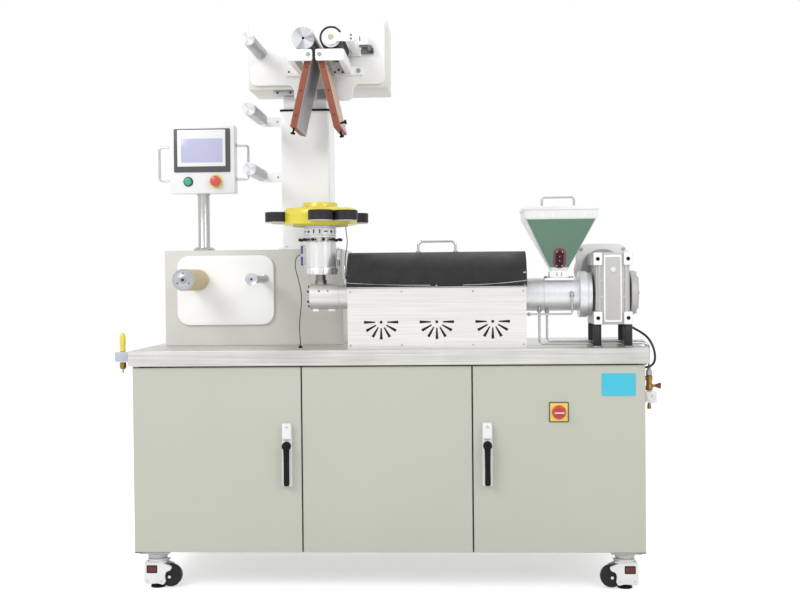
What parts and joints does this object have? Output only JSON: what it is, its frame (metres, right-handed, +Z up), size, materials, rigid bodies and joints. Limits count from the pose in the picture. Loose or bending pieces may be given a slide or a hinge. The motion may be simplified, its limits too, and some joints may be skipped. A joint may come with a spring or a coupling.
{
  "type": "blown film extrusion line",
  "caption": "Bench-scale blown film line: extruder with hopper, die with air ring, haul-off tower, winder and panel on a castored cabinet",
  "frame": {"origin": "on the floor, under the middle of the whole machine", "axes": "+Z up, +X along the cabinet towards the hopper end, -Y towards the operator"},
  "size_m": [1.858, 0.7964, 1.978],
  "materials": {
    "cabinet_paint": "satin",
    "sheet_steel": "brushed",
    "machine_white": "satin",
    "housing_grey": "satin",
    "chrome_roll": "polished",
    "rubber_roll": "matte",
    "zinc": "satin",
    "machined": "turned",
    "black_plastic": "matte",
    "red_plastic": "gloss",
    "green_plastic": "gloss",
    "board_brown": "satin",
    "card": "matte",
    "dark_steel": "satin",
    "wheel_nylon": "matte",
    "pipe_tube": "satin",
    "cable_black": "matte",
    "brass": "satin",
    "lever_red": "satin",
    "tool_yellow": "gloss"
  },
  "bodies": {
    "machine": {"cabinet_frame": "cabinet_paint", "cabinet_shell": "cabinet_paint", "centre_panel": "cabinet_paint", "worktop": "sheet_steel", "winder_box": "machine_white", "winder_plate": "machine_white", "panel_box": "machine_white", "panel_post": "chrome_roll", "tower_column": "machine_white", "head_box": "machine_white", "head_plate": "machine_white", "nip_frame": "machine_white", "air_ring": "machined", "blowers": "black_plastic", "die_head": "machined", "die_adaptor": "machined", "extruder_barrel": "machined", "barrel_guard": "sheet_steel", "hopper": "sheet_steel", "gearbox": "housing_grey", "gearbox_legs": "dark_steel", "motor": "housing_grey", "water_pipes": "pipe_tube", "motor_cable": "cable_black", "ring_lead": "cable_black", "die_lead": "cable_black", "side_valve": "brass", "hand_tool": "tool_yellow"},
    "left_leaf": {"left_door": "cabinet_paint", "left_lock": "zinc"},
    "left_handle": {"left_lever": "zinc"},
    "right_leaf": {"right_door": "cabinet_paint", "right_lock": "zinc"},
    "right_handle": {"right_lever": "zinc"},
    "main_switch": {"switch_knob": "red_plastic"},
    "winding_mandrel": {"winding_shaft": "machined", "paper_core": "card"},
    "winder_guide": {"winder_roller": "chrome_roll"},
    "head_guide": {"head_roller": "chrome_roll"},
    "upper_guide": {"upper_tower_roller": "chrome_roll"},
    "lower_guide": {"lower_tower_roller": "chrome_roll"},
    "drive_roll": {"drive_nip_roller": "chrome_roll"},
    "yoke": {"nip_yoke": "zinc"},
    "rubber_roll": {"rubber_nip_roller": "rubber_roll"},
    "left_flap": {"board_left": "board_brown"},
    "right_flap": {"board_right": "board_brown"},
    "lid": {"guard_lid": "sheet_steel"},
    "hopper_cover": {"hopper_lid": "sheet_steel"},
    "start_push": {"start_button": "green_plastic"},
    "stop_push": {"stop_button": "red_plastic"},
    "valve_wing": {"valve_lever": "lever_red"},
    "castor_front_left_body": {"castor_front_left": "dark_steel"},
    "wheel_front_left_body": {"wheel_front_left": "wheel_nylon"},
    "castor_front_right_body": {"castor_front_right": "dark_steel"},
    "wheel_front_right_body": {"wheel_front_right": "wheel_nylon"},
    "castor_back_left_body": {"castor_back_left": "dark_steel"},
    "wheel_back_left_body": {"wheel_back_left": "wheel_nylon"},
    "castor_back_right_body": {"castor_back_right": "dark_steel"},
    "wheel_back_right_body": {"wheel_back_right": "wheel_nylon"}
  },
  "joints": [
    {"name": "left_door_hinge", "type": "hinge", "parent": "machine", "child": "left_leaf", "pos_m": [-0.852, -0.3418, 0.4], "axis": [0, 0, -1], "range_deg": [0, 110]},
    {"name": "right_door_hinge", "type": "hinge", "parent": "machine", "child": "right_leaf", "pos_m": [0.852, -0.3418, 0.4], "axis": [0, 0, 1], "range_deg": [0, 110]},
    {"name": "left_lever_turn", "type": "hinge", "parent": "left_leaf", "child": "left_handle", "pos_m": [-0.33567, -0.3698, 0.495], "axis": [0, 1, 0], "range_deg": [0, 90]},
    {"name": "right_lever_turn", "type": "hinge", "parent": "right_leaf", "child": "right_handle", "pos_m": [0.33567, -0.3698, 0.495], "axis": [0, -1, 0], "range_deg": [0, 90]},
    {"name": "main_switch_turn", "type": "hinge", "parent": "right_leaf", "child": "main_switch", "pos_m": [0.574, -0.3638, 0.603], "axis": [0, -1, 0], "range_deg": [0, 90]},
    {"name": "winding_spin", "type": "hinge", "parent": "machine", "child": "winding_mandrel", "pos_m": [-0.699, -0.1638, 1.0545], "axis": [0, 1, 0], "continuous": true},
    {"name": "winder_roller_spin", "type": "hinge", "parent": "machine", "child": "winder_guide", "pos_m": [-0.4585, -0.1638, 1.0545], "axis": [0, 1, 0], "continuous": true},
    {"name": "head_roller_spin", "type": "hinge", "parent": "machine", "child": "head_guide", "pos_m": [-0.4565, -0.2088, 1.864], "axis": [0, 1, 0], "continuous": true},
    {"name": "upper_roller_spin", "type": "hinge", "parent": "machine", "child": "upper_guide", "pos_m": [-0.4565, -0.2088, 1.629], "axis": [0, 1, 0], "continuous": true},
    {"name": "lower_roller_spin", "type": "hinge", "parent": "machine", "child": "lower_guide", "pos_m": [-0.4565, -0.2088, 1.427], "axis": [0, 1, 0], "continuous": true},
    {"name": "drive_roller_spin", "type": "hinge", "parent": "machine", "child": "drive_roll", "pos_m": [-0.27, -0.2088, 1.8625], "axis": [0, 1, 0], "continuous": true},
    {"name": "nip_slide", "type": "slide", "parent": "machine", "child": "yoke", "axis": [-1, 0, 0], "range_m": [0, 0.0155]},
    {"name": "rubber_roller_spin", "type": "hinge", "parent": "yoke", "child": "rubber_roll", "pos_m": [-0.176, -0.2088, 1.8625], "axis": [0, -1, 0], "continuous": true},
    {"name": "left_board_tilt", "type": "hinge", "parent": "machine", "child": "left_flap", "pos_m": [-0.252, -0.2088, 1.805], "axis": [0, 1, 0], "range_deg": [-6, 6]},
    {"name": "right_board_tilt", "type": "hinge", "parent": "machine", "child": "right_flap", "pos_m": [-0.214, -0.2088, 1.805], "axis": [0, -1, 0], "range_deg": [-6, 6]},
    {"name": "guard_lid_hinge", "type": "hinge", "parent": "machine", "child": "lid", "pos_m": [0.17, -0.0868, 1.02], "axis": [-1, 0, 0], "range_deg": [0, 48]},
    {"name": "hopper_lid_lift", "type": "slide", "parent": "machine", "child": "hopper_cover", "axis": [0, 0, 1], "range_m": [0, 0.1]},
    {"name": "start_press", "type": "slide", "parent": "machine", "child": "start_push", "axis": [0, 1, 0], "range_m": [0, 0.005]},
    {"name": "stop_press", "type": "slide", "parent": "machine", "child": "stop_push", "axis": [0, 1, 0], "range_m": [0, 0.005]},
    {"name": "valve_lever_turn", "type": "hinge", "parent": "machine", "child": "valve_wing", "pos_m": [0.9, -0.2478, 0.68], "axis": [1, 0, 0], "range_deg": [0, 90]},
    {"name": "castor_front_left_swivel", "type": "hinge", "parent": "machine", "child": "castor_front_left_body", "pos_m": [-0.798, -0.2838, 0.1], "axis": [0, 0, 1], "continuous": true},
    {"name": "wheel_front_left_spin", "type": "hinge", "parent": "castor_front_left_body", "child": "wheel_front_left_body", "pos_m": [-0.752, -0.2838, 0.0395], "axis": [0, 1, 0], "continuous": true},
    {"name": "castor_front_right_swivel", "type": "hinge", "parent": "machine", "child": "castor_front_right_body", "pos_m": [0.798, -0.2838, 0.1], "axis": [0, 0, 1], "continuous": true},
    {"name": "wheel_front_right_spin", "type": "hinge", "parent": "castor_front_right_body", "child": "wheel_front_right_body", "pos_m": [0.752, -0.2838, 0.0395], "axis": [0, 1, 0], "continuous": true},
    {"name": "castor_back_left_swivel", "type": "hinge", "parent": "machine", "child": "castor_back_left_body", "pos_m": [-0.798, 0.3162, 0.1], "axis": [0, 0, 1], "continuous": true},
    {"name": "wheel_back_left_spin", "type": "hinge", "parent": "castor_back_left_body", "child": "wheel_back_left_body", "pos_m": [-0.752, 0.3162, 0.0395], "axis": [0, 1, 0], "continuous": true},
    {"name": "castor_back_right_swivel", "type": "hinge", "parent": "machine", "child": "castor_back_right_body", "pos_m": [0.798, 0.3162, 0.1], "axis": [0, 0, 1], "continuous": true},
    {"name": "wheel_back_right_spin", "type": "hinge", "parent": "castor_back_right_body", "child": "wheel_back_right_body", "pos_m": [0.752, 0.3162, 0.0395], "axis": [0, 1, 0], "continuous": true}
  ]
}
